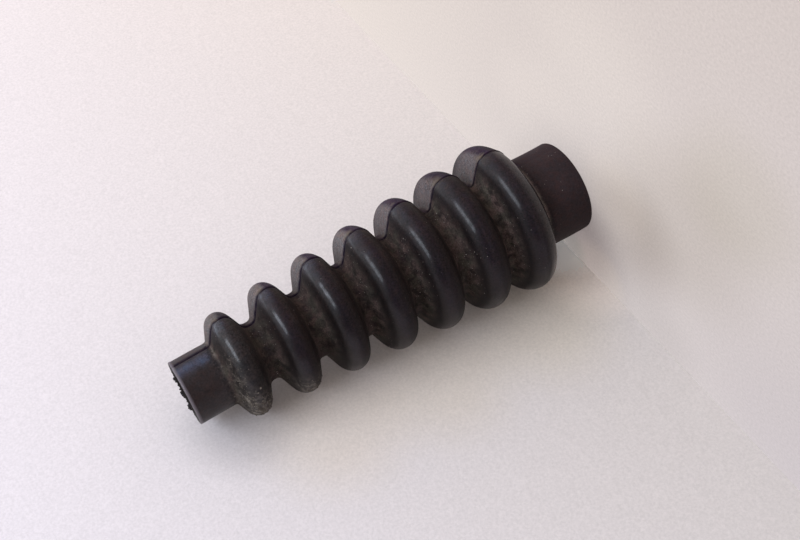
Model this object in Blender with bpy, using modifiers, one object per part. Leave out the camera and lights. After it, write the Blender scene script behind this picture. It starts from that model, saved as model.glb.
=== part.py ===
# Rubber cable boot for a motorbike control cable: one hollow moulding with a
# wide neck, seven rounded bellows folds that taper, and a narrow neck.
# It stands on its wide neck. +Z runs along the axis from the wide end to the
# narrow end, and z = 0 is the cut face of the wide neck. Lengths are metres.

import math

import bpy

# Driving dimensions along the axis
FOLD_COUNT = 7
FOLD_PITCH = 0.00695
WIDE_FACE_TO_FIRST_CREST = 0.0103
LAST_CREST_TO_NARROW_FACE = 0.0080

# Driving dimensions across the axis
WIDE_NECK_RADIUS = 0.0066
WIDE_BORE_RADIUS = 0.0053
NARROW_NECK_RADIUS = 0.0045
NARROW_BORE_RADIUS = 0.0031
WIDEST_CREST_RADIUS = 0.0109
NARROWEST_CREST_RADIUS = 0.0074
GROOVE_DEPTH = 0.0034

# Driving dimensions of a fold's section
WALL = 0.0011
FLANK_LEAN = math.radians(24.0)      # a fold's side, measured from square to the axis
GROOVE_ROUND = 0.0005                # rounding where a fold's side meets the groove floor
WIDE_GROOVE_FLOOR = 0.0002           # flat left in the groove at the wide end
NARROW_GROOVE_FLOOR = 0.00102        # and at the narrow end

# How finely the round shapes are faceted
TURN_STEPS = 36
OUTER_CREST_STEPS = 6
INNER_CREST_STEPS = 3
GROOVE_STEPS = 2
MERGE_DISTANCE = 0.00001
SHARP_ANGLE = math.radians(50.0)

# Finish
RUBBER_COLOUR = (0.018, 0.018, 0.020, 1.0)
RUBBER_ROUGHNESS = 0.48

# The surface turns by this much from a crest's top to a fold's straight side
SIDE_TURN = math.pi / 2 - FLANK_LEAN
LENGTH = WIDE_FACE_TO_FIRST_CREST + (FOLD_COUNT - 1) * FOLD_PITCH + LAST_CREST_TO_NARROW_FACE


def clear_scene():
    for thing in list(bpy.data.objects):
        bpy.data.objects.remove(thing, do_unlink=True)


def tapered(wide_value, narrow_value, fold):
    # A value for one fold, counted from the wide end, between the two ends' values
    share = fold / max(FOLD_COUNT - 1, 1)
    return wide_value + (narrow_value - wide_value) * share


def crest_height(fold):
    return WIDE_FACE_TO_FIRST_CREST + fold * FOLD_PITCH


def crest_radius(fold):
    return tapered(WIDEST_CREST_RADIUS, NARROWEST_CREST_RADIUS, fold)


def crest_round(fold):
    # The largest rounding that joins both sides and leaves the groove its floor
    half_room = (FOLD_PITCH - tapered(WIDE_GROOVE_FLOOR, NARROW_GROOVE_FLOOR, fold)) / 2
    side_run = half_room * math.cos(FLANK_LEAN)
    side_drop = (GROOVE_DEPTH - GROOVE_ROUND) * math.sin(FLANK_LEAN)
    return (side_run - side_drop - GROOVE_ROUND) / (1 - math.sin(FLANK_LEAN))


def groove_radius(groove):
    # A groove lies between two folds and is cut down from their mean radius
    return (crest_radius(groove) + crest_radius(groove + 1)) / 2 - GROOVE_DEPTH


def side_distance(fold, inset):
    # How far a fold's straight side lies from the point on the axis below its crest
    rounding = crest_round(fold)
    return (crest_radius(fold) - rounding) * math.sin(FLANK_LEAN) + rounding - inset


def arc(centre_radius, centre_height, radius, start, stop, steps):
    # Points (distance from the axis, height); angle 0 faces away from the axis.
    # A negative radius gives the hollow side of the arc.
    if radius == 0:
        return [(centre_radius, centre_height)]
    angles = [start + (stop - start) * step / steps for step in range(steps + 1)]
    return [(centre_radius + radius * math.cos(angle), centre_height + radius * math.sin(angle))
            for angle in angles]


def crest_arc(fold, inset, steps):
    # Where the wall is thicker than the rounding, the inside runs out to a V
    spare = crest_round(fold) - inset
    centre = crest_radius(fold) - crest_round(fold) + min(spare, 0) / math.sin(FLANK_LEAN)
    return arc(centre, crest_height(fold), max(spare, 0), SIDE_TURN, -SIDE_TURN, steps)


def foot_arc(fold, side, inset, floor_radius, rounding):
    # The rounding from a fold's side into the groove or neck beside it;
    # side is +1 towards the narrow end and -1 towards the wide end
    centre_radius = floor_radius + rounding
    reach = side_distance(fold, inset) + rounding - centre_radius * math.sin(FLANK_LEAN)
    centre_height = crest_height(fold) + side * reach / math.cos(FLANK_LEAN)
    turns = (0, SIDE_TURN) if side > 0 else (-SIDE_TURN, 0)
    return arc(centre_radius, centre_height, -rounding, *turns, GROOVE_STEPS)


def surface_line(inset, wide_radius, narrow_radius, crest_steps):
    # One surface of the moulding, from the narrow face down to the wide face
    grooves = [groove_radius(groove) - inset for groove in range(FOLD_COUNT - 1)]
    floors = [wide_radius] + grooves + [narrow_radius]
    rounding = GROOVE_ROUND + inset
    line = [(narrow_radius, LENGTH)]
    for fold in reversed(range(FOLD_COUNT)):
        line += foot_arc(fold, +1, inset, floors[fold + 1], rounding)
        line += crest_arc(fold, inset, crest_steps)
        line += foot_arc(fold, -1, inset, floors[fold], rounding)
    line.append((wide_radius, 0.0))
    return line


def boot_section():
    # The closed section: down the outside, then up the inside
    outside = surface_line(0.0, WIDE_NECK_RADIUS, NARROW_NECK_RADIUS, OUTER_CREST_STEPS)
    inside = surface_line(WALL, WIDE_BORE_RADIUS, NARROW_BORE_RADIUS, INNER_CREST_STEPS)
    return outside + inside[::-1]


def rubber_material():
    material = bpy.data.materials.new("black_rubber")
    material.use_nodes = True
    shader = material.node_tree.nodes["Principled BSDF"]
    shader.inputs["Base Color"].default_value = RUBBER_COLOUR
    shader.inputs["Roughness"].default_value = RUBBER_ROUGHNESS
    shader.inputs["Metallic"].default_value = 0.0
    return material


def turned_object(name, section, material, collection):
    # Spin the closed section about Z
    corners = [(radius, 0.0, height) for radius, height in section]
    sides = [(index, (index + 1) % len(corners)) for index in range(len(corners))]
    outline = bpy.data.meshes.new(name + "_section")
    outline.from_pydata(corners, sides, [])
    piece = bpy.data.objects.new(name, outline)
    collection.objects.link(piece)

    screw = piece.modifiers.new("spin", "SCREW")
    screw.axis = "Z"
    screw.angle = 2 * math.pi
    screw.steps = TURN_STEPS
    screw.render_steps = TURN_STEPS
    screw.use_merge_vertices = True
    screw.merge_threshold = MERGE_DISTANCE

    # Keep the spun faces as the object's own mesh, to mark the cut rims sharp
    depsgraph = bpy.context.evaluated_depsgraph_get()
    spun = bpy.data.meshes.new_from_object(piece.evaluated_get(depsgraph))
    piece.modifiers.clear()
    piece.data = spun
    bpy.data.meshes.remove(outline)
    spun.name = name
    spun.materials.append(material)
    spun.shade_smooth()
    spun.set_sharp_from_angle(angle=SHARP_ANGLE)
    return piece


def main():
    clear_scene()
    collection = bpy.data.collections.new("rubber_cable_boot")
    bpy.context.scene.collection.children.link(collection)
    turned_object("cable_boot", boot_section(), rubber_material(), collection)


main()
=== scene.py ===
import math
import random

import bmesh
import bpy
from mathutils import Matrix, Vector, noise


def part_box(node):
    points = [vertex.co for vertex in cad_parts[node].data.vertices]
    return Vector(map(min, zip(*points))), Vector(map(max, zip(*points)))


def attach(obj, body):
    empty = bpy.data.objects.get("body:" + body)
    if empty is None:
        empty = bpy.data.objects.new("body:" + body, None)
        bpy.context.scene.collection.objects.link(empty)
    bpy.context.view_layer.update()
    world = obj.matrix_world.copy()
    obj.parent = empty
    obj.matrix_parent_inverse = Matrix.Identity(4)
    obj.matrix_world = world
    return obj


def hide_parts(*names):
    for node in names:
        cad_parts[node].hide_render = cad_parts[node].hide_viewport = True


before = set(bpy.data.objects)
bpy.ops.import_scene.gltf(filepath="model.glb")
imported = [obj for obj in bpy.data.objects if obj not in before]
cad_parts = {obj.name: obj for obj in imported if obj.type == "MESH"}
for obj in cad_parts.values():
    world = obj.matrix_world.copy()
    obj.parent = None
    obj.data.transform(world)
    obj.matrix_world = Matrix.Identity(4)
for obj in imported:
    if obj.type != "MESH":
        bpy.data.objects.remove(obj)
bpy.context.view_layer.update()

# The boot stands on its wide neck, axis up. The paper behind it and the camera
# are turned so that the picture is taken from the photo's own side.

mm = 0.001
bootNode = "cable_boot"
nodeLow, nodeHigh = (Vector(corner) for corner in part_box(bootNode))

# The moulding; the length and the widest crest come from the frame
boot = dict(
    foldCount=7,
    foldPitch=6.95 * mm,
    wideFaceToFirstCrest=10.3 * mm,
    length=nodeHigh.z - nodeLow.z,
    wideNeckRadius=6.6 * mm,
    wideBoreRadius=5.3 * mm,
    narrowNeckRadius=4.5 * mm,
    narrowBoreRadius=3.1 * mm,
    widestCrestRadius=nodeHigh.x,
    narrowestCrestRadius=7.4 * mm,
    wideCrestRound=2.366 * mm,
    narrowCrestRound=1.735 * mm,
    grooveDepth=3.5 * mm,
    wideGrooveRound=0.56 * mm,  # rounding at a groove's floor, by the wide end
    narrowGrooveRound=1.0 * mm,  # and by the narrow end
    neckRound=0.5 * mm,  # where the outer folds meet the necks
    wall=1.1 * mm,
    flankLean=math.radians(24),
)

# How finely the skin is drawn
fineness = dict(
    outerCrestSteps=22,
    innerCrestSteps=8,
    outerGrooveSteps=7,
    innerGrooveSteps=3,
    longestOuterStep=0.3 * mm,
    longestInnerStep=1.2 * mm,
    openColumns=66,  # on each half, between the two mould lines
    rimRadius=0.16 * mm,
    rimSteps=4,
)

# The two lines where the mould closed, and the step beside them
mouldLine = dict(
    azimuth=math.radians(-70.6),
    offsets=[-0.9, -0.62, -0.42, -0.3, -0.22, -0.16, -0.11, -0.06, -0.02,
             0.02, 0.06, 0.11, 0.16, 0.22, 0.3, 0.42, 0.62, 0.9],  # millimetres
    wanderHeights=[0, 10, 17, 24, 38, 48, 56, 60],  # millimetres
    wanderSlides=[-0.3, -0.42, 0.1, 0.5, 0.5, 0.25, 0.02, 0.0],  # millimetres
    stepHeight=0.08 * mm,
    stepFade=1.2 * mm,
    halfShrink=0.12 * mm,  # the matt half is a little smaller all over
    lipHeight=0.05 * mm,
    grooveDepth=0.15 * mm,
    wideGrooveWidth=0.085 * mm,  # the line is finer by the wide end
    narrowGrooveWidth=0.22 * mm,
    fadeLow=6.2 * mm,
    fadeHigh=8.2 * mm,
)

# Small departures from a perfect turned shape
unevenness = dict(
    bow=0.28 * mm,
    bowAzimuth=math.radians(-43.0),
    swell=0.05 * mm,
    swellSize=5.0 * mm,
    trimLean=math.radians(2.6),  # the narrow end is cut a little out of square
    trimAzimuth=math.radians(55.7),  # and is lowest on this side
    trimReach=5.0 * mm,
)


def printStage(words):
    print("boot scene:", words)


# Section of the moulding: each point is (radius, height, normal out, normal up)

def tapered(wideValue, narrowValue, fold):
    return wideValue + (narrowValue - wideValue) * fold / (boot["foldCount"] - 1)


def crestHeight(fold):
    return boot["wideFaceToFirstCrest"] + fold * boot["foldPitch"]


def crestRadius(fold):
    return tapered(boot["widestCrestRadius"], boot["narrowestCrestRadius"], fold)


def crestRound(fold):
    return tapered(boot["wideCrestRound"], boot["narrowCrestRound"], fold)


def grooveRadius(groove):
    return (crestRadius(groove) + crestRadius(groove + 1)) / 2 - boot["grooveDepth"]


def arc(centreRadius, centreHeight, radius, start, stop, steps):
    points = []
    for step in range(steps + 1):
        turn = start + (stop - start) * step / steps
        out, up = math.cos(turn), math.sin(turn)
        points.append((centreRadius + radius * out, centreHeight + radius * up, out, up))
    return points


def footRound(fold, side):
    lastFold = boot["foldCount"] - 1
    if (fold == 0 and side < 0) or (fold == lastFold and side > 0):
        return boot["neckRound"]
    return tapered(boot["wideGrooveRound"], boot["narrowGrooveRound"], fold)


def footHeight(fold, side, inset, floorRadius):
    # Height of the centre of the rounding where a fold's side meets the floor
    lean, crest = boot["flankLean"], crestRound(fold)
    rounding = footRound(fold, side) + inset
    sideDistance = (crestRadius(fold) - crest) * math.sin(lean) + crest - inset
    reach = (sideDistance + rounding - (floorRadius + rounding) * math.sin(lean)) / math.cos(lean)
    return crestHeight(fold) + side * reach


def wideFoot():
    # Height where the first fold meets the wide neck
    return footHeight(0, -1, 0, boot["wideNeckRadius"])


def narrowFoot():
    # Height where the last fold meets the narrow neck
    return footHeight(boot["foldCount"] - 1, +1, 0, boot["narrowNeckRadius"])


def footArc(fold, side, inset, floorRadius, steps):
    rounding = footRound(fold, side) + inset
    turn = math.pi / 2 - boot["flankLean"]
    start, stop = (0, turn) if side > 0 else (-turn, 0)
    centreHeight = footHeight(fold, side, inset, floorRadius)
    return arc(floorRadius + rounding, centreHeight, -rounding, start, stop, steps)


def surfaceLine(inset, wideRadius, narrowRadius, crestSteps, grooveSteps):
    # From the narrow face down to the wide face
    grooves = [grooveRadius(groove) - inset for groove in range(boot["foldCount"] - 1)]
    floors = [wideRadius] + grooves + [narrowRadius]
    turn = math.pi / 2 - boot["flankLean"]
    line = []
    for fold in reversed(range(boot["foldCount"])):
        rounding = crestRound(fold)
        centre = crestRadius(fold) - rounding
        line += footArc(fold, +1, inset, floors[fold + 1], grooveSteps)
        line += arc(centre, crestHeight(fold), rounding - inset, turn, -turn, crestSteps)
        line += footArc(fold, -1, inset, floors[fold], grooveSteps)
    return line


def spread(points, longestStep):
    # Fill long straight stretches with evenly spaced points
    filled = [points[0]]
    for point in points[1:]:
        last = filled[-1]
        gap = math.hypot(point[0] - last[0], point[1] - last[1])
        pieces = max(1, math.ceil(gap / longestStep))
        for piece in range(1, pieces + 1):
            share = piece / pieces
            filled.append(tuple(a + (b - a) * share for a, b in zip(last, point)))
    return filled


def outsideLine():
    rim, steps = fineness["rimRadius"], fineness["rimSteps"]
    top = arc(boot["narrowNeckRadius"] - rim, boot["length"] - rim, rim, math.pi / 2, 0, steps)
    bottom = arc(boot["wideNeckRadius"] - rim, rim, rim, 0, -math.pi / 2, steps)
    folds = surfaceLine(0, boot["wideNeckRadius"], boot["narrowNeckRadius"],
                        fineness["outerCrestSteps"], fineness["outerGrooveSteps"])
    return spread(top + folds + bottom, fineness["longestOuterStep"])


def insideLine():
    # Written from the wide face up, with its normals turned towards the axis
    rim, steps = fineness["rimRadius"] * 0.6, 2
    top = arc(boot["narrowBoreRadius"] + rim, boot["length"] - rim, -rim, -math.pi / 2, 0, steps)
    bottom = arc(boot["wideBoreRadius"] + rim, rim, -rim, 0, math.pi / 2, steps)
    folds = surfaceLine(boot["wall"], boot["wideBoreRadius"], boot["narrowBoreRadius"],
                        fineness["innerCrestSteps"], fineness["innerGrooveSteps"])
    line = spread(top + folds + bottom, fineness["longestInnerStep"])
    return [(radius, height, -out, -up) for radius, height, out, up in reversed(line)]


# Skin: columns close together at each mould line and even between them

def ease(value, start, stop):
    share = min(1.0, max(0.0, (value - start) / (stop - start)))
    return share * share * (3 - 2 * share)


def alongList(value, places, amounts):
    # Smooth value between listed ones
    if value <= places[0]:
        return amounts[0]
    for index in range(1, len(places)):
        if value <= places[index]:
            share = ease(value, places[index - 1], places[index])
            return amounts[index - 1] + (amounts[index] - amounts[index - 1]) * share
    return amounts[-1]


def columnsAt(radius, wander):
    # Angle and signed distance from the nearest mould line, for every column.
    # The distance is positive on the matt half.
    columns = []
    reach = mouldLine["offsets"][-1] * mm
    for line in range(2):
        centre = mouldLine["azimuth"] + line * math.pi + wander[line] / radius
        nextCentre = mouldLine["azimuth"] + (line + 1) * math.pi + wander[1 - line] / radius
        sign = 1 if line == 0 else -1
        for offset in mouldLine["offsets"]:
            columns.append((centre + offset * mm / radius, sign * offset * mm))
        start, stop = centre + reach / radius, nextCentre - reach / radius
        for index in range(1, fineness["openColumns"]):
            turn = start + (stop - start) * index / fineness["openColumns"]
            fromHere = (turn - centre) * radius
            toNext = (nextCentre - turn) * radius
            columns.append((turn, sign * min(fromHere, toNext)))
    return columns


def seamFade(height):
    # No mould line is seen on the wide neck
    return ease(height, mouldLine["fadeLow"], mouldLine["fadeHigh"])


def seamWidth(height):
    share = min(1.0, max(0.0, height / boot["length"]))
    wide, narrow = mouldLine["wideGrooveWidth"], mouldLine["narrowGrooveWidth"]
    return wide + (narrow - wide) * ease(share, 0.15, 0.8)


def seamDarkness(height, up, place):
    # The line is dark towards the narrow end and fades over the widest crests
    hidden = (1 - ease(up, -0.15, 0.35)) * (1 - ease(height, 27 * mm, 38 * mm))
    worn = 0.85 + 0.5 * noise.noise(Vector((place / (0.6 * mm), 21.0, 0)))
    return max(0.0, min(1.0, (1 - 0.8 * hidden) * worn)) * seamFade(height)


def lineDetail(distance, place, height, seed):
    # Height of the moulding's step, lip and cut near a mould line
    jitter = noise.noise(Vector((place / (0.8 * mm), seed, 0)))
    lift = 0.0
    if distance > 0:
        lift += mouldLine["stepHeight"] * math.exp(-distance / mouldLine["stepFade"])
        lift -= mouldLine["halfShrink"] * (1 - math.exp(-distance / (1.5 * mm)))
        lipShape = math.exp(-((distance - 0.15 * mm) / (0.07 * mm)) ** 2)
        lift += mouldLine["lipHeight"] * (0.7 + 0.6 * jitter) * lipShape
    cut = math.exp(-(distance / seamWidth(height)) ** 2)
    lift -= mouldLine["grooveDepth"] * (0.85 + 0.5 * jitter) * cut
    return lift * seamFade(height)


def bowAt(height):
    share = (height - boot["length"] / 2) / (boot["length"] / 2)
    amount = unevenness["bow"] * (0.75 - share * share)
    amount *= min(1.0, height / (4 * mm))
    azimuth = unevenness["bowAzimuth"]
    return Vector((math.cos(azimuth) * amount, math.sin(azimuth) * amount, 0))


def trimDrop(height, radius, turn):
    # How much lower the slanted cut leaves a point of the narrow neck
    share = ease(height, boot["length"] - unevenness["trimReach"], boot["length"])
    across = radius * math.cos(turn - unevenness["trimAzimuth"]) + boot["narrowNeckRadius"]
    return max(0.0, across) * math.tan(unevenness["trimLean"]) * share


# Where dirt has dried on: fold, lean and azimuth in degrees, reach in millimetres, strength,
# number of crumbs, and how large the largest may be against the full size
driedPatches = [
    (6, 14, 166, 2.7, 1.00, 210, 1.0),
    (6, 60, 186, 1.7, 0.85, 90, 1.0),
    (5, 10, 162, 2.3, 0.75, 70, 1.0),
    (6, 70, -142, 1.8, 0.28, 30, 0.5),
    (6, 70, -120, 1.6, 0.22, 18, 0.5),
]


def outwardAt(azimuth):
    return Vector((math.cos(azimuth), math.sin(azimuth), 0))


def spotOnFold(fold, lean, azimuth, slide=0.0):
    # A point on a fold and the direction square to it there; slide runs down the fold's side
    rounding = crestRound(fold)
    out, up = math.cos(lean), math.sin(lean)
    radius = crestRadius(fold) - rounding + rounding * out - slide * abs(up)
    height = crestHeight(fold) + rounding * up + slide * out * (1 if up > 0 else -1)
    outward = outwardAt(azimuth)
    spot = outward * radius + Vector((0, 0, height)) + bowAt(height)
    return spot, (outward * out + Vector((0, 0, up))).normalized()


def dirtAt(spot):
    # The dried patches, and a broken ring where the last fold meets the narrow neck
    share = 0.0
    for fold, lean, azimuth, reach, strength, count, largest in driedPatches:
        centre = spotOnFold(fold, math.radians(lean), math.radians(azimuth))[0]
        away = (spot - centre).length / (reach * mm)
        share = max(share, strength * math.exp(-away * away))
    ring = math.exp(-((spot.z - narrowFoot() + 0.2 * mm) / (0.2 * mm)) ** 2)
    patchy = 0.45 + 1.1 * noise.noise(spot / (1.3 * mm))
    return max(share, 0.75 * ring * max(0.0, min(1.0, patchy)))


def grooveShareAt(radius, height, fold):
    share = min(1.0, max(0.0, (crestRadius(fold) - radius) / boot["grooveDepth"]))
    share *= ease(height, wideFoot() - 0.9 * mm, wideFoot() + 0.5 * mm)
    return share * (1 - ease(height, narrowFoot() - 0.5 * mm, narrowFoot() + 0.9 * mm))


def polishAt(radius, height, fold, up):
    # The narrow side of each crest is rubbed clean and shines; so does the narrow neck
    crest = 1 - ease(abs(up - 0.42), 0.22, 0.56)
    crest *= 1 - ease((crestRadius(fold) - radius) / mm, 0.35, 1.3)
    towardsNarrow = 0.22 * ease(height, 24 * mm, 40 * mm)
    crest *= 0.78 + towardsNarrow + 0.3 * ease(height, 46 * mm, 51 * mm)
    return max(crest, 0.75 * ease(height, narrowFoot(), narrowFoot() + 0.8 * mm))


def paintedBlueSheenAt(distance, radius, height, fold, up):
    # Painted bluish sheen on the satin half, close to the mould line
    if distance > 0:
        return 0.0
    onNeck = ease(height, narrowFoot() + 0.1 * mm, narrowFoot() + 0.9 * mm)
    onCrest = (1 - ease(abs(up - 0.3), 0.25, 0.75)) * (1 - onNeck)
    onCrest *= 1 - ease((crestRadius(fold) - radius) / mm, 0.35, 1.5)
    away = -distance / mm
    neckBand = math.exp(-((away - 1.45) / 0.75) ** 2)
    crestBand = math.exp(-((away - 0.9) / 1.1) ** 2)
    return onNeck * neckBand + (0.05 + 0.25 * ease(height, 20 * mm, 50 * mm)) * onCrest * crestBand


def creaseShadeAt(radius, height, fold):
    # Painted shade: a dark line where a fold's wide side runs out into the groove below it
    if fold == 0 or radius > crestRadius(fold) - 0.55 * boot["grooveDepth"]:
        return 0.0
    foot = footHeight(fold, -1, 0, grooveRadius(fold - 1)) + 0.45 * footRound(fold, -1)
    away = (height - foot) / (0.08 * mm)
    return 0.45 * math.exp(-away * away)


def paintedLightShareAt(distance, turn):
    # Share of the painted light and shade: on the matt half it is full beside the first mould line and none
    # round its back, where the plain colour shows; it is full on the satin half
    if distance <= 0:
        return 1.0
    beside = 1 - ease(distance, 4.5 * mm, 8.5 * mm)
    return beside if turn - mouldLine["azimuth"] < math.pi / 2 else 0.0


def paintedMiddleShadeAt(distance):
    # Painted shade: the satin half is made darkest along its middle
    away = -distance / mm
    return ease(away, 4.5, 9.0) * (1 - ease(away, 15.0, 21.0))


skinColumns = 2 * (len(mouldLine["offsets"]) + fineness["openColumns"] - 1)

skinLayers = ["grooveShare", "flankSide", "seamShare", "seamNear", "dirtShare", "wideNeck", "narrowNeck",
              "polish", "paintedBlueSheen", "rim", "creaseShade", "pale", "paintedMiddleShade"]


def rowShares(radius, height, up, fold):
    # What is the same all round the outside at one height
    rim = ease(height, boot["length"] - 0.3 * mm, boot["length"] - 0.16 * mm)
    rim *= ease(radius, boot["narrowNeckRadius"] - 0.16 * mm, boot["narrowNeckRadius"] - 0.1 * mm)
    return dict(
        grooveShare=grooveShareAt(radius, height, fold),
        wideNeck=1 - ease(height, wideFoot() - 0.9 * mm, wideFoot() + 0.3 * mm),
        narrowNeck=ease(height, narrowFoot(), narrowFoot() + 1.5 * mm),
        polish=polishAt(radius, height, fold, up),
        creaseShade=creaseShadeAt(radius, height, fold),
        rim=rim,
    )


def pointShares(necks, distance, radius, height, up, fold, place, spot):
    # What also changes round the outside
    fromLine = distance / (seamWidth(height) * 1.6)
    seamTintReach = seamFade(height) * ease(up, 0.0, 0.25) * (1 - ease(up, 0.55, 0.85))
    # On the matt half's narrower folds the painted narrow-side light reaches further over the crests
    paintedLightReach = 0.55 * ease(height, 26 * mm, 50 * mm) if distance > 0 else 0.0
    return dict(
        flankSide=up + paintedLightReach,
        seamShare=math.exp(-fromLine * fromLine) * seamDarkness(height, up, place),
        seamNear=math.exp(-abs(distance) / (0.9 * mm)) * seamTintReach,
        dirtShare=dirtAt(spot) if height > 40 * mm else 0.0,
        paintedMiddleShade=paintedMiddleShadeAt(distance) * (1 - necks["wideNeck"]) * (1 - necks["narrowNeck"]),
        paintedBlueSheen=paintedBlueSheenAt(distance, radius, height, fold, up),
    )


def buildSkin():
    outside, inside = outsideLine(), insideLine()
    section = outside + inside
    places = [0.0]
    for before, after in zip(section, section[1:]):
        places.append(places[-1] + math.hypot(after[0] - before[0], after[1] - before[1]))
    vertices, distances = [], []
    layers = {name: [] for name in skinLayers}
    for (radius, height, out, up), place in zip(section, places):
        outer = len(vertices) < len(outside) * skinColumns
        slide = [noise.noise(Vector((height / (4 * mm), 4.1 + line * 7, 0))) * 0.12 * mm
                 for line in range(2)]
        slide[0] += alongList(height / mm, mouldLine["wanderHeights"], mouldLine["wanderSlides"]) * mm
        centre = bowAt(height)
        fold = min(range(boot["foldCount"]), key=lambda nearby: abs(crestHeight(nearby) - height))
        allRound = rowShares(radius, height, up, fold) if outer else dict(grooveShare=1.0)
        for turn, distance in columnsAt(radius, slide if outer else (0, 0)):
            direction = outwardAt(turn)
            spot = direction * radius + Vector((0, 0, height)) + centre
            if outer:
                seed = 3.0 if abs(turn - mouldLine["azimuth"]) < 1.6 else 9.0
                lift = lineDetail(distance, place, height, seed)
                lift += noise.noise(spot / unevenness["swellSize"]) * unevenness["swell"]
                nearFace = min(height, boot["length"] - height)
                lift *= min(1.0, 0.15 + nearFace / (0.6 * mm))
                spot += (direction * out + Vector((0, 0, up))) * lift
            spot.z -= trimDrop(height, radius, turn)
            vertices.append(spot)
            distances.append(distance)
            shares = dict(allRound, pale=paintedLightShareAt(distance, turn))
            if outer:
                shares.update(pointShares(allRound, distance, radius, height, up, fold, place, spot))
            for name in skinLayers:
                layers[name].append(shares.get(name, 0.0))
    faces, faceSlots = [], []
    for row in range(len(section)):
        start, nextStart = row * skinColumns, (row + 1) % len(section) * skinColumns
        for column in range(skinColumns):
            beside = (column + 1) % skinColumns
            faces.append((start + column, nextStart + column, nextStart + beside, start + beside))
            matt = distances[start + column] + distances[start + beside] > 0
            faceSlots.append(2 if row >= len(outside) - 1 else (0 if matt else 1))
    mesh = bpy.data.meshes.new("bootSkin")
    mesh.from_pydata(vertices, [], faces)
    mesh.validate()
    for layerName, values in layers.items():
        layer = mesh.attributes.new(layerName, "FLOAT", "POINT")
        layer.data.foreach_set("value", values)
    mesh.polygons.foreach_set("material_index", faceSlots)
    mesh.shade_smooth()
    mesh.update()
    return newPiece("bellowsSkin", mesh)


# Small lumps: dirt dried on the last folds, and flash left at the narrow cut

def addLump(lumps, spot, normal, size, flatness, chance):
    # One crumb: a rough ball pressed flat against the surface
    turned = normal.to_track_quat("Z", "Y").to_matrix().to_4x4()
    spin = Matrix.Rotation(chance.uniform(0, 2 * math.pi), 4, "Z")
    stretch = Matrix.Diagonal((size * chance.uniform(0.7, 1.3), size, size * flatness, 1))
    made = bmesh.ops.create_icosphere(lumps, subdivisions=2, radius=1.0)["verts"]
    offset = Vector((chance.uniform(0, 50), chance.uniform(0, 50), 0))
    for vertex in made:
        rough = 1 + 0.45 * noise.noise(vertex.co * 1.6 + offset)
        vertex.co = Matrix.Translation(spot) @ turned @ spin @ stretch @ (vertex.co * rough)


def newPiece(name, data):
    piece = bpy.data.objects.new(name, data)
    bpy.context.scene.collection.objects.link(piece)
    return piece


def lumpPiece(name, lumps):
    mesh = bpy.data.meshes.new(name)
    lumps.to_mesh(mesh)
    lumps.free()
    mesh.shade_smooth()
    return newPiece(name, mesh)


# Crumbs past the slide lean lie further down the fold's side
crumbs = dict(seed=11, smallest=0.045 * mm, largest=0.135 * mm, flatness=0.6, sunk=0.1,
              lowestLean=math.radians(-60), highestLean=math.radians(66), slideLean=math.radians(62))


def buildCrumbs():
    chance = random.Random(crumbs["seed"])
    lumps = bmesh.new()
    for fold, patchLean, patchAzimuth, reach, strength, count, largest in driedPatches:
        reach *= mm
        largest *= crumbs["largest"]
        for crumb in range(count):
            lean = math.radians(patchLean) + chance.gauss(0, 0.42) * reach / crestRound(fold)
            azimuth = math.radians(patchAzimuth) + chance.gauss(0, 0.5) * reach / crestRadius(fold)
            lean = min(crumbs["highestLean"], max(crumbs["lowestLean"], lean))
            slide = abs(chance.gauss(0, 0.5)) * mm if lean > crumbs["slideLean"] else 0.0
            spot, normal = spotOnFold(fold, lean, azimuth, slide)
            size = crumbs["smallest"] + (largest - crumbs["smallest"]) * chance.random() ** 2.2
            addLump(lumps, spot - normal * size * crumbs["sunk"], normal, size, crumbs["flatness"], chance)
    return lumpPiece("driedDirt", lumps)


# Flash on the narrow cut: (azimuth in degrees, size in millimetres, how far it stands up)
flashBits = [
    (16, 0.22, 0.2), (22, 0.16, 0.12), (44, 0.16, 0.12), (52, 0.24, 0.22), (58, 0.26, 0.14),
    (63, 0.16, 0.12), (84, 0.17, 0.18), (90, 0.24, 0.26), (95, 0.2, 0.14), (74, 0.12, 0.06),
    (33, 0.12, 0.08), (118, 0.12, 0.05), (-8, 0.12, 0.05), (205, 0.1, 0.02), (250, 0.12, 0.03),
]


# Nibs on the wide neck: (azimuth in degrees, height and size in millimetres)
neckNibs = [(164, 0.5, 0.13), (170, 1.3, 0.1), (160, 1.7, 0.12), (173, 2.6, 0.09), (158, 3.4, 0.1)]

# The two distances are in millimetres
flash = dict(seed=5, nibFlatness=0.7, bitFlatness=0.8, fromBore=0.25, scatter=0.25)


def buildFlash():
    chance = random.Random(flash["seed"])
    lumps = bmesh.new()
    for degrees, height, size in neckNibs:
        outward = outwardAt(math.radians(degrees))
        spot = outward * boot["wideNeckRadius"] + Vector((0, 0, height * mm)) + bowAt(height * mm)
        addLump(lumps, spot, outward, size * mm, flash["nibFlatness"], chance)
    for degrees, size, stand in flashBits:
        azimuth = math.radians(degrees)
        radius = boot["narrowBoreRadius"] + flash["fromBore"] * mm + chance.uniform(0, flash["scatter"]) * mm
        height = boot["length"] - trimDrop(boot["length"], radius, azimuth) + (stand - size * 0.5) * mm
        spot = outwardAt(azimuth) * radius + Vector((0, 0, height)) + bowAt(boot["length"])
        addLump(lumps, spot, Vector((0, 0, 1)), size * mm, flash["bitFlatness"], chance)
    return lumpPiece("cutFlash", lumps)


# Node helpers

def newMaterial(name):
    material = bpy.data.materials.new(name)
    material.use_nodes = True
    tree = material.node_tree
    tree.nodes.clear()
    output = tree.nodes.new("ShaderNodeOutputMaterial")
    return material, tree, output


def addNode(tree, kind, **settings):
    node = tree.nodes.new(kind)
    for key, value in settings.items():
        setattr(node, key, value)
    return node


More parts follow.
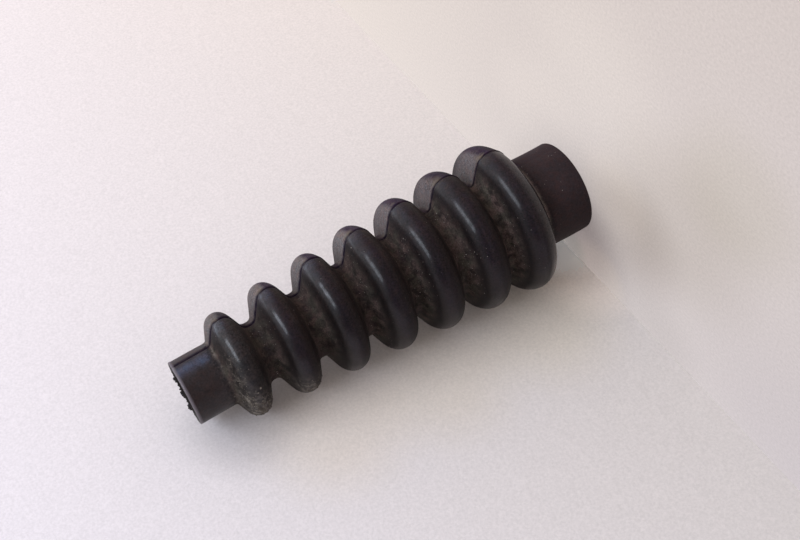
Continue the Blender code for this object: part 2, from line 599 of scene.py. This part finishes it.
def feed(tree, socket, value):
    # Link an output to a socket, or set the socket's own value; a colour has three numbers
    if isinstance(value, bpy.types.NodeSocket):
        tree.links.new(value, socket)
    elif value is not None:
        socket.default_value = (*value, 1) if socket.type == "RGBA" else value


def feedAll(tree, node, values):
    for name, value in values.items():
        feed(tree, node.inputs[name], value)
    return node


def feedInOrder(tree, node, values):
    for socket, value in zip(node.inputs, values):
        feed(tree, socket, value)
    return node


def mixColour(tree, factor, first, second, blend="MIX"):
    node = addNode(tree, "ShaderNodeMix", data_type="RGBA", blend_type=blend)
    for index, value in ((0, factor), (6, first), (7, second)):
        feed(tree, node.inputs[index], value)
    return node.outputs[2]


def layered(tree, colour, *coats):
    # Lay colours over one another, each by its own mask
    for mask, coat in coats:
        colour = mixColour(tree, mask, colour, coat)
    return colour


def mathNode(tree, operation, *values, clamp=False):
    node = addNode(tree, "ShaderNodeMath", operation=operation, use_clamp=clamp)
    return feedInOrder(tree, node, values).outputs[0]


def times(tree, first, *others):
    for other in others:
        first = mathNode(tree, "MULTIPLY", first, other)
    return first


def vectorNode(tree, operation, *values):
    node = addNode(tree, "ShaderNodeVectorMath", operation=operation)
    return feedInOrder(tree, node, values).outputs


def scaled(tree, colour, amount):
    node = addNode(tree, "ShaderNodeVectorMath", operation="SCALE")
    feed(tree, node.inputs[0], colour)
    feed(tree, node.inputs["Scale"], amount)
    return node.outputs[0]


def ramp(tree, value, fromLow, fromHigh, toLow=0.0, toHigh=1.0, smooth=True):
    node = addNode(tree, "ShaderNodeMapRange", interpolation_type="SMOOTHSTEP" if smooth else "LINEAR")
    return feedAll(tree, node, {"Value": value, "From Min": fromLow, "From Max": fromHigh,
                                "To Min": toLow, "To Max": toHigh}).outputs["Result"]


def fade(tree, mask, atZero, atOne, smooth=True):
    return ramp(tree, mask, 0.0, 1.0, atZero, atOne, smooth)


def noiseNode(tree, place, scale, detail=2.0, roughness=0.5):
    node = addNode(tree, "ShaderNodeTexNoise")
    values = dict(Vector=place, Scale=scale, Detail=detail, Roughness=roughness)
    return feedAll(tree, node, values).outputs["Fac"]


def mixShader(tree, factor, first, second):
    return feedInOrder(tree, addNode(tree, "ShaderNodeMixShader"), (factor, first, second)).outputs[0]


def placeAndSides(tree):
    # The place on the object, and the same split into X, Y and Z
    place = addNode(tree, "ShaderNodeTexCoord").outputs["Object"]
    sides = addNode(tree, "ShaderNodeSeparateXYZ")
    tree.links.new(place, sides.inputs[0])
    return place, sides.outputs


def finishShader(tree, shader, output, height, strength, distance):
    bump = addNode(tree, "ShaderNodeBump")
    feedAll(tree, bump, dict(Strength=strength, Distance=distance, Height=height))
    tree.links.new(bump.outputs["Normal"], shader.inputs["Normal"])
    tree.links.new(shader.outputs[0], output.inputs["Surface"])


def newGroup(name, inputs, outputs):
    # Node group with named sockets; an input with no value of its own is a vector
    group = bpy.data.node_groups.new(name, "ShaderNodeTree")
    for socketName, value in inputs.items():
        kind = "NodeSocketVector" if value is None else "NodeSocketFloat"
        socket = group.interface.new_socket(socketName, in_out="INPUT", socket_type=kind)
        if value is not None:
            socket.default_value = value
    for socketName in outputs:
        group.interface.new_socket(socketName, in_out="OUTPUT", socket_type="NodeSocketFloat")
    return group, group.nodes.new("NodeGroupInput").outputs, group.nodes.new("NodeGroupOutput")


def placeGroup(tree, group, **values):
    node = tree.nodes.new("ShaderNodeGroup")
    node.node_tree = group
    return feedAll(tree, node, values).outputs


# Effects that the rubber's two finishes, its bore and the dried dirt share

def grooveDustGroup():
    # Brown film that settles in the grooves, thicker in cloudy patches
    inputs = dict(Place=None, Groove=0.0, Amount=0.5)
    group, given, result = newGroup("grooveDust", inputs, ["Film", "Hue"])
    cloud = noiseNode(group, given["Place"], 820.0, 7.0, 0.7)
    grain = noiseNode(group, given["Place"], 5200.0, 2.0, 0.6)
    film = times(group, ramp(group, cloud, 0.32, 0.64, 0.12, 1.05),
                 ramp(group, grain, 0.25, 0.75, 0.55, 1.25),
                 ramp(group, given["Groove"], 0.34, 0.86))
    film = mathNode(group, "MULTIPLY", film, given["Amount"], clamp=True)
    hue = ramp(group, noiseNode(group, given["Place"], 640.0, 3.0, 0.6), 0.38, 0.62)
    feedAll(group, result, dict(Film=film, Hue=hue))
    return group


def dustSpeckGroup():
    # Single pale specks, a few of the cells of a fine cell pattern
    inputs = dict(Place=None, Share=0.0, Cells=2400.0, Rarity=0.86)
    group, given, result = newGroup("dustSpecks", inputs, ["Specks"])
    cells = addNode(group, "ShaderNodeTexVoronoi", feature="F1")
    feedAll(group, cells, dict(Vector=given["Place"], Scale=given["Cells"]))
    pick = addNode(group, "ShaderNodeSeparateColor")
    group.links.new(cells.outputs["Color"], pick.inputs[0])
    common = mathNode(group, "SUBTRACT", 1.0, given["Rarity"])
    limit = mathNode(group, "SUBTRACT", 1.0, times(group, given["Share"], common))
    chosen = mathNode(group, "GREATER_THAN", pick.outputs[0], limit)
    size = fade(group, pick.outputs[1], 0.13, 0.3, False)
    inside = mathNode(group, "SUBTRACT", size, cells.outputs["Distance"])
    speck = mathNode(group, "MULTIPLY", inside, 12.0, clamp=True)
    feedAll(group, result, dict(Specks=times(group, chosen, speck)))
    return group


def rubberGrainGroup():
    # Fine height for the rubber's skin and a slow mottle of its colour
    inputs = dict(Place=None, Fineness=4200.0, Blotch=900.0)
    group, given, result = newGroup("rubberGrain", inputs, ["Height", "Mottle", "Streak", "Freckle", "Hue"])
    fine = noiseNode(group, given["Place"], given["Fineness"], 3.0, 0.7)
    blotch = noiseNode(group, given["Place"], given["Blotch"], 5.0, 0.65)
    slow = noiseNode(group, given["Place"], 210.0)
    hue = noiseNode(group, given["Place"], 1500.0, 3.0, 0.6)
    feedAll(group, result, dict(
        Height=mathNode(group, "ADD", times(group, fine, 0.6), times(group, blotch, 0.4)),
        Mottle=ramp(group, blotch, 0.3, 0.7),
        Streak=ramp(group, slow, 0.35, 0.65),
        Freckle=ramp(group, fine, 0.3, 0.7, smooth=False),
        Hue=ramp(group, hue, 0.32, 0.68, smooth=False)))
    return group


def paintedShadeSpotGroup():
    # Share of a soft round spot on a sheet, for painted shadow and painted light
    group, given, result = newGroup("paintedShadeSpot", dict(Place=None, Centre=None, Reach=0.02), ["Share"])
    away = vectorNode(group, "DISTANCE", given["Place"], given["Centre"])["Value"]
    feedAll(group, result, dict(Share=ramp(group, away, 0.003, given["Reach"], 1.0, 0.0)))
    return group


rubberLooks = dict(
    mattHalf=dict(
        # Matt half: the colours by facing are painted light and shade; the narrow-facing sides are painted
        # light, partly dust
        topColour=(0.0175, 0.008, 0.0215),  # crests
        wideFacingPaintedColour=(0.0158, 0.0104, 0.0172),  # sides that face the wide end
        narrowFacingPaintedColour=(0.108, 0.091, 0.094),  # sides that face the narrow end
        mottleColour=(0.04, 0.026, 0.04),
        dustColour=(0.085, 0.067, 0.066), dustShade=(0.07, 0.062, 0.058),
        paintedSheenColour=(0.05, 0.05, 0.07),
        seamTint=(0.14, 0.112, 0.08), seamTintShare=0.85,
        flankLow=0.26, flankHigh=0.7, flankShare=0.92, neckMix=0.45, wideDull=0.02,
        roughness=0.58, specular=0.05, coat=0.0, coatRoughness=0.2, sheen=0.03,
        dust=0.55, specks=0.3, rarity=0.9, grain=0.4, freckle=0.65,
    ),
    satinHalf=dict(
        # Satin half: the colours by facing are painted light and shade, lighter on the sides that face the
        # wide end
        topColour=(0.0115, 0.0066, 0.0118),
        wideFacingPaintedColour=(0.0178, 0.0118, 0.0118),
        narrowFacingPaintedColour=(0.0095, 0.0062, 0.0056),
        mottleColour=(0.0185, 0.0115, 0.0122),
        dustColour=(0.0715, 0.0485, 0.045), dustShade=(0.048, 0.041, 0.0345),
        paintedSheenColour=(0.044, 0.049, 0.083),
        seamTint=(0.066, 0.049, 0.042), seamTintShare=0.58,
        flankLow=0.35, flankHigh=0.85, flankShare=0.8, neckMix=0.85, wideDull=0.22,
        roughness=0.4, specular=0.12, coat=0.46, coatRoughness=0.18, sheen=0.0,
        dust=0.95, specks=1.0, rarity=0.86, grain=0.32, freckle=0.8,
    ),
    bore=dict(
        topColour=(0.01, 0.0085, 0.0095),
        wideFacingPaintedColour=(0.01, 0.0085, 0.0095),
        narrowFacingPaintedColour=(0.01, 0.0085, 0.0095),
        mottleColour=(0.014, 0.011, 0.012),
        dustColour=(0.024, 0.017, 0.015), dustShade=(0.02, 0.016, 0.014),
        paintedSheenColour=(0.01, 0.01, 0.01),
        seamTint=(0.01, 0.01, 0.01), seamTintShare=0.0,
        flankLow=0.3, flankHigh=0.9, flankShare=0.0, neckMix=0.0, wideDull=0.0,
        roughness=0.55, specular=0.25, coat=0.0, coatRoughness=0.2, sheen=0.0,
        dust=0.4, specks=0.3, rarity=0.94, grain=0.3, freckle=0.3,
    ),
)

rubberShared = dict(
    narrowNeckColour=(0.0215, 0.014, 0.015),  # the plain necks are a duller brown-black
    wideNeckColour=(0.029, 0.0182, 0.0205),
    # Painted reflection: a lighter line of colour on the last fold's side towards the wide neck, beside its
    # real gloss
    paintedRimReflectionColour=(0.024, 0.0175, 0.02),  # the last fold's side towards the wide neck
    wideSideShine=1.3,  # it mirrors the bright paper in a thin line
    firstFoldColour=(0.026, 0.022, 0.023),  # the narrowest fold is the dustiest
    paintedMiddleShadeLevel=0.68,  # how dark the satin half's middle is left
    # Round the matt half's back the painted light and shade give way to this plain colour, and only this
    # share of the painted narrow-side light stays
    plainColour=(0.0165, 0.013, 0.014),  # round the back
    plainFlank=0.35,
    dirtColour=(0.18, 0.158, 0.146),
    dirtShade=(0.05, 0.041, 0.038),
    speckColour=(0.37, 0.335, 0.315),
    speckCells=5600.0, gritCells=2900.0, gritRarity=0.965, neckSpecks=0.25,
    seamColour=(0.007, 0.0026, 0.011),
    creaseShadeColour=(0.006, 0.0034, 0.006),
    rimColour=(0.13, 0.112, 0.132),
    coolTone=(0.86, 1.02, 1.08),  # slow changes of hue all over
    warmTone=(1.14, 0.98, 0.92),
    sheenTint=(0.9, 0.8, 0.95),
    mottle=0.7, wideNeckFreckle=0.35, narrowNeckFreckle=0.5, grainDepth=0.05 * mm,
    # How much each makes the rubber rougher
    filmDull=0.35, grooveDull=0.32, dirtDull=0.4, lowDull=0.15, streakDull=0.08,
    # Changes with height: between two heights in metres, the first share below and the second above
    wideSide=(0.0102, 0.0114, 1.0, 0.0), flankRise=(0.0255, 0.0305, 0.88, 1.05),
    dustRise=(0.012, 0.034, 1.5, 1.0), firstFold=(0.0475, 0.051, 0.0, 0.55),
)


def rubberMaterial(name, look, groups):
    both = rubberShared
    material, tree, output = newMaterial(name)
    shader = feedAll(tree, addNode(tree, "ShaderNodeBsdfPrincipled"), {
        "Specular IOR Level": look["specular"], "Coat Roughness": look["coatRoughness"],
        "Sheen Weight": look["sheen"], "Sheen Tint": both["sheenTint"]})
    place, sides = placeAndSides(tree)
    height = sides["Z"]
    share = {layer: addNode(tree, "ShaderNodeAttribute", attribute_name=layer).outputs["Fac"]
             for layer in skinLayers}

    grain = placeGroup(tree, groups["grain"], Place=place)
    mottle = grain["Mottle"]
    dust = placeGroup(tree, groups["dust"], Place=place, Groove=share["grooveShare"], Amount=look["dust"])
    speckShare = mathNode(tree, "ADD", times(tree, share["grooveShare"], look["specks"]),
                          times(tree, share["wideNeck"], both["neckSpecks"]), clamp=True)
    specks = placeGroup(tree, groups["specks"], Place=place, Share=speckShare,
                        Cells=both["speckCells"], Rarity=look["rarity"])
    grit = placeGroup(tree, groups["specks"], Place=place, Share=speckShare,
                      Cells=both["gritCells"], Rarity=both["gritRarity"])

    # Painted light and shade by which way a fold's side faces, then the necks, the painted bluish sheen and
    # the slow changes of hue
    flankLevels = look["flankShare"] * both["plainFlank"], look["flankShare"]
    paintedFlankShading = times(tree, ramp(tree, share["flankSide"], look["flankLow"], look["flankHigh"]),
                  fade(tree, share["pale"], *flankLevels, False),
                  ramp(tree, height, *both["flankRise"]))
    low = ramp(tree, share["flankSide"], 0.0, -0.55)
    lastSide = times(tree, ramp(tree, share["flankSide"], 0.05, -0.45),
                     ramp(tree, height, *both["wideSide"]))
    firstFold = ramp(tree, height, *both["firstFold"])
    neck = times(tree, share["narrowNeck"], look["neckMix"])
    paintedBlueSheen = times(tree, share["paintedBlueSheen"], fade(tree, mottle, 1.0, 0.7))
    colour = layered(
        tree, look["topColour"], (times(tree, mottle, both["mottle"]), look["mottleColour"]),
        (low, look["wideFacingPaintedColour"]), (lastSide, both["paintedRimReflectionColour"]), (firstFold, both["firstFoldColour"]))
    colour = mixColour(tree, share["pale"], both["plainColour"], colour)
    colour = layered(
        tree, colour, (paintedFlankShading, look["narrowFacingPaintedColour"]), (neck, both["narrowNeckColour"]),
        (share["wideNeck"], both["wideNeckColour"]), (paintedBlueSheen, look["paintedSheenColour"]))
    toned = mixColour(tree, grain["Hue"], both["coolTone"], both["warmTone"])
    colour = mixColour(tree, 1.0, colour, toned, "MULTIPLY")

    # Freckles, weaker on the necks, and painted shade over the satin half's middle
    onWideNeck = look["freckle"] * both["wideNeckFreckle"]
    uneven = times(tree, fade(tree, share["wideNeck"], look["freckle"], onWideNeck, False),
                   fade(tree, share["narrowNeck"], 1.0, both["narrowNeckFreckle"]), 2.0)
    freckle = times(tree, mathNode(tree, "SUBTRACT", grain["Freckle"], 0.5), uneven)
    freckle = mathNode(tree, "ADD", freckle, fade(tree, grain["Streak"], 0.88, 1.12, False))
    freckle = times(tree, freckle, fade(tree, share["paintedMiddleShade"], 1.0, both["paintedMiddleShadeLevel"]))
    colour = scaled(tree, colour, freckle)

    # Then what lies on the rubber and what is painted on it: a tint beside the mould line, dust, dirt,
    # specks, mould line, rim and painted crease shade
    seamSideTint = ramp(tree, mottle, 0.25, 0.75, 0.0, look["seamTintShare"])
    seamSideTint = times(tree, share["seamNear"], seamSideTint)
    dustTone = mixColour(tree, dust["Hue"], look["dustColour"], look["dustShade"])
    dustTone = scaled(tree, dustTone, ramp(tree, height, *both["dustRise"]))
    dirt = times(tree, share["dirtShare"], ramp(tree, mottle, 0.0, 0.8, 0.35, 1.0))
    dirtTone = ramp(tree, grain["Hue"], 0.4, 0.72)
    dirtTone = mixColour(tree, dirtTone, both["dirtShade"], both["dirtColour"])
    strewn = times(tree, mathNode(tree, "ADD", specks["Specks"], grit["Specks"], clamp=True),
                   fade(tree, grain["Streak"], 0.15, 0.75))
    paintedCreaseShade = times(tree, share["creaseShade"], fade(tree, mottle, 0.85, 0.25))
    colour = layered(tree, colour, (seamSideTint, look["seamTint"]), (dust["Film"], dustTone), (dirt, dirtTone),
                     (strewn, both["speckColour"]), (share["seamShare"], both["seamColour"]),
                     (share["rim"], both["rimColour"]), (paintedCreaseShade, both["creaseShadeColour"]))

    rough = look["roughness"]
    for mask, amount in ((dust["Film"], both["filmDull"]), (share["grooveShare"], both["grooveDull"]),
                         (dirt, both["dirtDull"]), (low, both["lowDull"]),
                         (share["wideNeck"], look["wideDull"]), (grain["Streak"], both["streakDull"])):
        rough = mathNode(tree, "MULTIPLY_ADD", mask, amount, rough, clamp=True)

    clean = times(tree, share["polish"], fade(tree, mottle, 1.0, 0.45),
                  mathNode(tree, "SUBTRACT", 1.0, dirt, clamp=True))
    clean = mathNode(tree, "ADD", clean, times(tree, lastSide, both["wideSideShine"]))
    feedAll(tree, shader, {"Base Color": colour, "Roughness": rough,
                           "Coat Weight": times(tree, clean, look["coat"])})
    finishShader(tree, shader, output, grain["Height"], look["grain"], both["grainDepth"])
    return material


driedLook = dict(paleColour=(0.17, 0.148, 0.13), darkColour=(0.056, 0.044, 0.036), roughness=0.85,
                 specular=0.3, grain=0.6, grainDepth=0.04 * mm)


def driedDirtMaterial(groups):
    material, tree, output = newMaterial("driedDirtCrumbs")
    place = addNode(tree, "ShaderNodeTexCoord").outputs["Object"]
    grain = placeGroup(tree, groups["grain"], Place=place, Blotch=2600.0, Fineness=9000.0)
    patchy = ramp(tree, noiseNode(tree, place, 1300.0), 0.38, 0.62)
    pale = times(tree, patchy, fade(tree, grain["Mottle"], 0.4, 1.0))
    shader = feedAll(tree, addNode(tree, "ShaderNodeBsdfPrincipled"), {
        "Base Color": mixColour(tree, pale, driedLook["darkColour"], driedLook["paleColour"]),
        "Roughness": driedLook["roughness"], "Specular IOR Level": driedLook["specular"]})
    finishShader(tree, shader, output, grain["Height"], driedLook["grain"], driedLook["grainDepth"])
    return material


# Studio: one sheet under the boot and one behind it that touches its crests,
# as the paper does in the photo. The second one shows only from the front, to the
# camera and in reflections, so that it never keeps light from the boot's back.

studio = dict(
    floorHalf=1.2,
    backdropHalfWidth=1.2,
    backdropHeight=1.0,
    crestGap=0.1 * mm,
    worldLevel=0.64,  # even part of the light from all round
    worldLean=0.6,  # how much more comes from the bright side, and less from the other
    brightSide=(0.7, -0.12, 0.7),
    worldColour=(1.0, 0.96, 0.89),
    mirrorColour=(0.9, 0.95, 1.0),
    mirrorBright=1.3,
    mirrorDark=0.12,
    seenColour=(0.62, 0.56, 0.55),
)

# Each sheet's colour changes steadily with place, painted light and shade for how the light falls off across
# the paper: from a start colour, by so much for each metre along an axis, between that axis's low and high.
# Soft spots (centre, reach, tint) of painted shadow and painted light are multiplied in after that.
paperLooks = dict(
    paperFloor=dict(
        start=(0.565, 0.51, 0.498),
        paintedLightRamps=dict(X=(-0.08, 0.12, (0.92, 0.74, 0.38)), Y=(-0.07, 0.012, (0.72, 0.87, 1.15))),
        # Painted shadows of the boot (tints below one) and painted light (tints above one) round its foot
        paintedShadeSpots=[
            ((-0.0045, 0.008, 0), 0.013, (0.63, 0.6, 0.61)),
            ((-0.0135, -0.004, 0), 0.014, (0.78, 0.76, 0.74)),
            ((-0.023, -0.014, 0), 0.018, (0.88, 0.87, 0.84)),
            ((-0.02, 0.012, 0), 0.014, (0.9, 0.9, 0.9)),
            ((-0.048, 0.006, 0), 0.028, (0.95, 0.95, 0.97)),
            ((0.006, -0.009, 0), 0.014, (1.07, 1.07, 1.06)),
            ((-0.0105, -0.008, 0), 0.009, (1.1, 1.1, 1.08)),
            ((-0.006, -0.024, 0), 0.019, (1.065, 1.07, 1.06)),
            ((-0.031, -0.026, 0), 0.014, (0.92, 0.92, 0.88)),
            ((-0.001, 0.0115, 0), 0.006, (0.85, 0.9, 0.88)),
            ((-0.009, 0.0105, 0), 0.007, (1.11, 1.1, 1.05)),
        ],
        farColour=(0.62, 0.6, 0.62), farStart=0.09, farStop=0.2, glowShare=0.45, glowLevel=1.28,
    ),
    paperBackdrop=dict(
        start=(0.67, 0.622, 0.61),
        paintedLightRamps=dict(X=(-0.07, 0.1, (0.8, 0.64, 0.6)), Z=(0.0, 0.09, (0.86, 1.00, 1.8))),
        # Painted light (tints above one) in the corner under the boot, and warmer, darker painted shadow
        # below it
        paintedShadeSpots=[
            ((-0.008, 0.0118, 0), 0.01, (1.3, 1.26, 1.22)),
            ((-0.001, 0.0118, 0.001), 0.0072, (1.34, 1.48, 1.58)),
            ((-0.0115, 0.0108, 0.012), 0.014, (0.98, 0.955, 0.875)),
            ((-0.0115, 0.0094, 0.029), 0.014, (0.975, 0.945, 0.865)),
            ((-0.0105, 0.008, 0.045), 0.014, (0.98, 0.945, 0.865)),
            ((-0.004, 0.007, 0.0545), 0.01, (0.8, 0.8, 0.8)),
        ],
        farColour=(0.8, 0.78, 0.84), farStart=0.12, farStop=0.3,
    ),
)


def paperLean():
    # Lean and distance of the plane that touches the first and the last crest
    last = boot["foldCount"] - 1
    run = crestHeight(last) - crestHeight(0)
    fall = (crestRadius(0) - crestRound(0)) - (crestRadius(last) - crestRound(last))
    lean = math.atan2(fall, run) + math.asin((crestRound(0) - crestRound(last)) / math.hypot(run, fall))
    distance = ((crestRadius(0) - crestRound(0)) * math.cos(lean) + crestHeight(0) * math.sin(lean)
                + crestRound(0))
    return lean, distance + studio["crestGap"]


def paperMaterial(name, backdrop, groups):
    look = paperLooks[name]
    material, tree, output = newMaterial(name)
    place, sides = placeAndSides(tree)
    colour = look["start"]
    for axis, (low, high, rampPerMetre) in look["paintedLightRamps"].items():
        reached = ramp(tree, sides[axis], low, high, low, high, False)
        colour = vectorNode(tree, "MULTIPLY_ADD", reached, rampPerMetre, colour)[0]
    for centre, reach, tint in look["paintedShadeSpots"]:
        paintedShade = placeGroup(tree, groups["spot"], Place=place, Centre=centre, Reach=reach)
        colour = mixColour(tree, paintedShade["Share"], colour, tint, "MULTIPLY")
    far = ramp(tree, sides["X"], look["farStart"], look["farStop"])
    colour = mixColour(tree, far, colour, look["farColour"])
    fibre = ramp(tree, noiseNode(tree, place, 2600.0, 4.0, 0.75), 0.3, 0.7, 0.905, 1.095, False)
    colour = scaled(tree, colour, fibre)
    diffuse = feedAll(tree, addNode(tree, "ShaderNodeBsdfDiffuse"), dict(Color=colour)).outputs[0]
    rays = addNode(tree, "ShaderNodeLightPath").outputs
    shown = mathNode(tree, "ADD", rays["Is Camera Ray"], rays["Is Glossy Ray"], clamp=True)
    shown = mathNode(tree, "ADD", shown, rays["Is Transmission Ray"], clamp=True)
    if backdrop:
        clear = addNode(tree, "ShaderNodeBsdfTransparent").outputs[0]
        front = mathNode(tree, "SUBTRACT", 1.0, addNode(tree, "ShaderNodeNewGeometry").outputs["Backfacing"])
        surface = mixShader(tree, times(tree, front, shown), clear, diffuse)
    else:
        # Part of the floor glows with its own colour, seen by the camera and in reflections; this painted
        # light keeps its shadows soft
        floorGlow = addNode(tree, "ShaderNodeEmission")
        feedAll(tree, floorGlow, dict(Color=colour, Strength=look["glowLevel"]))
        surface = mixShader(tree, times(tree, shown, look["glowShare"]), diffuse, floorGlow.outputs[0])
    tree.links.new(surface, output.inputs["Surface"])
    return material


def stageSheet(name, corners, material):
    mesh = bpy.data.meshes.new(name)
    mesh.from_pydata(corners, [], [(0, 1, 2, 3)])
    mesh.materials.append(material)
    newPiece(name, mesh)


def buildPaper(groups):
    lean, distance = paperLean()
    foot = distance / math.cos(lean)
    half, wide, tall = studio["floorHalf"], studio["backdropHalfWidth"], studio["backdropHeight"]
    topY, topZ = foot - math.sin(lean) * tall, math.cos(lean) * tall
    stageSheet("paperFloor", [(-half, -half, 0), (half, -half, 0), (half, half, 0), (-half, half, 0)],
               paperMaterial("paperFloor", False, groups))
    stageSheet("paperBackdrop", [(-wide, foot, 0), (wide, foot, 0), (wide, topY, topZ), (-wide, topY, topZ)],
               paperMaterial("paperBackdrop", True, groups))


lamps = dict(
    window=dict(azimuth=-90.0, elevation=43.0, distance=0.6, width=0.5, height=0.2, power=2.4,
                colour=(0.81, 0.89, 1.0)),
    sky=dict(azimuth=8.0, elevation=40.0, distance=0.8, width=0.6, height=0.6, power=1.85,
             colour=(0.83, 0.9, 1.0)),
)


def buildWorld():
    # Soft light, stronger from the bright side; reflections see the same room with more contrast
    world = bpy.data.worlds.new("studioWorld")
    bpy.context.scene.world = world
    world.use_nodes = True
    tree = world.node_tree
    around = addNode(tree, "ShaderNodeTexCoord").outputs["Generated"]
    towards = vectorNode(tree, "DOT_PRODUCT", around, studio["brightSide"])["Value"]
    level, lean = studio["worldLevel"], studio["worldLean"]
    even = feedAll(tree, tree.nodes["Background"], dict(
        Color=studio["worldColour"],
        Strength=ramp(tree, towards, -1.0, 1.0, level - lean, level + lean, False)))
    mirrored = feedAll(tree, addNode(tree, "ShaderNodeBackground"), dict(
        Color=studio["mirrorColour"],
        Strength=ramp(tree, towards, -0.2, 1.0, studio["mirrorDark"], studio["mirrorBright"])))
    seen = feedAll(tree, addNode(tree, "ShaderNodeBackground"), dict(Color=studio["seenColour"]))
    rays = addNode(tree, "ShaderNodeLightPath").outputs
    bounced = mathNode(tree, "ADD", rays["Is Glossy Ray"], rays["Is Transmission Ray"], clamp=True)
    light = mixShader(tree, bounced, even.outputs[0], mirrored.outputs[0])
    light = mixShader(tree, rays["Is Camera Ray"], light, seen.outputs[0])
    tree.links.new(light, tree.nodes["World Output"].inputs["Surface"])


def buildLights():
    aim = Vector((0, 0, boot["length"] / 2))
    for name, lamp in lamps.items():
        data = bpy.data.lights.new(name, "AREA")
        data.shape = "RECTANGLE"
        data.size = lamp["width"]
        data.size_y = lamp["height"]
        data.energy = lamp["power"]
        data.color = lamp["colour"]
        azimuth, elevation = math.radians(lamp["azimuth"]), math.radians(lamp["elevation"])
        level = math.cos(elevation)
        direction = Vector((math.cos(azimuth) * level, math.sin(azimuth) * level, math.sin(elevation)))
        light = newPiece(name, data)
        light.location = aim + direction * lamp["distance"]
        light.rotation_euler = (-direction).to_track_quat("-Z", "Y").to_euler()


# Camera: where the photo was taken from, turned so that the boot lies across the picture

view = dict(
    distance=163.64 * mm,
    azimuth=math.radians(-124.29),
    height=73.83 * mm,
    aimX=0.483 * mm,
    aimY=-0.332 * mm,
    aimZ=26.84 * mm,
    roll=math.radians(118.61),
    focalPixels=1265.5,
    pictureWidth=800,
    sensorWidth=36.0,
    clipStart=5 * mm,
)


def buildCamera():
    data = bpy.data.cameras.new("photoCamera")
    data.sensor_width = view["sensorWidth"]
    data.lens = view["focalPixels"] * view["sensorWidth"] / view["pictureWidth"]
    data.clip_start = view["clipStart"]
    camera = newPiece("photoCamera", data)
    azimuth, distance = view["azimuth"], view["distance"]
    place = Vector((math.cos(azimuth) * distance, math.sin(azimuth) * distance, view["height"]))
    gaze = Vector((view["aimX"], view["aimY"], view["aimZ"])) - place
    upright = gaze.to_track_quat("-Z", "Y").to_matrix()
    turned = upright @ Matrix.Rotation(-view["roll"], 3, "Z")
    camera.matrix_world = Matrix.Translation(place) @ turned.to_4x4()
    bpy.context.scene.camera = camera


printStage("camera")
buildCamera()
printStage("finishes")
finishGroups = dict(dust=grooveDustGroup(), specks=dustSpeckGroup(), grain=rubberGrainGroup(),
                    spot=paintedShadeSpotGroup())
rubber = {half: rubberMaterial(half + "Rubber", look, finishGroups) for half, look in rubberLooks.items()}
printStage("skin")
skin = buildSkin()
for material in rubber.values():
    skin.data.materials.append(material)
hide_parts(bootNode)
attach(skin, "root")
printStage("dried dirt and flash")
for piece, material in ((buildCrumbs(), driedDirtMaterial(finishGroups)), (buildFlash(), rubber["bore"])):
    piece.data.materials.append(material)
    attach(piece, "root")
printStage("paper and lights")
buildPaper(finishGroups)
buildWorld()
buildLights()
bpy.context.scene.view_settings.view_transform = "Standard"
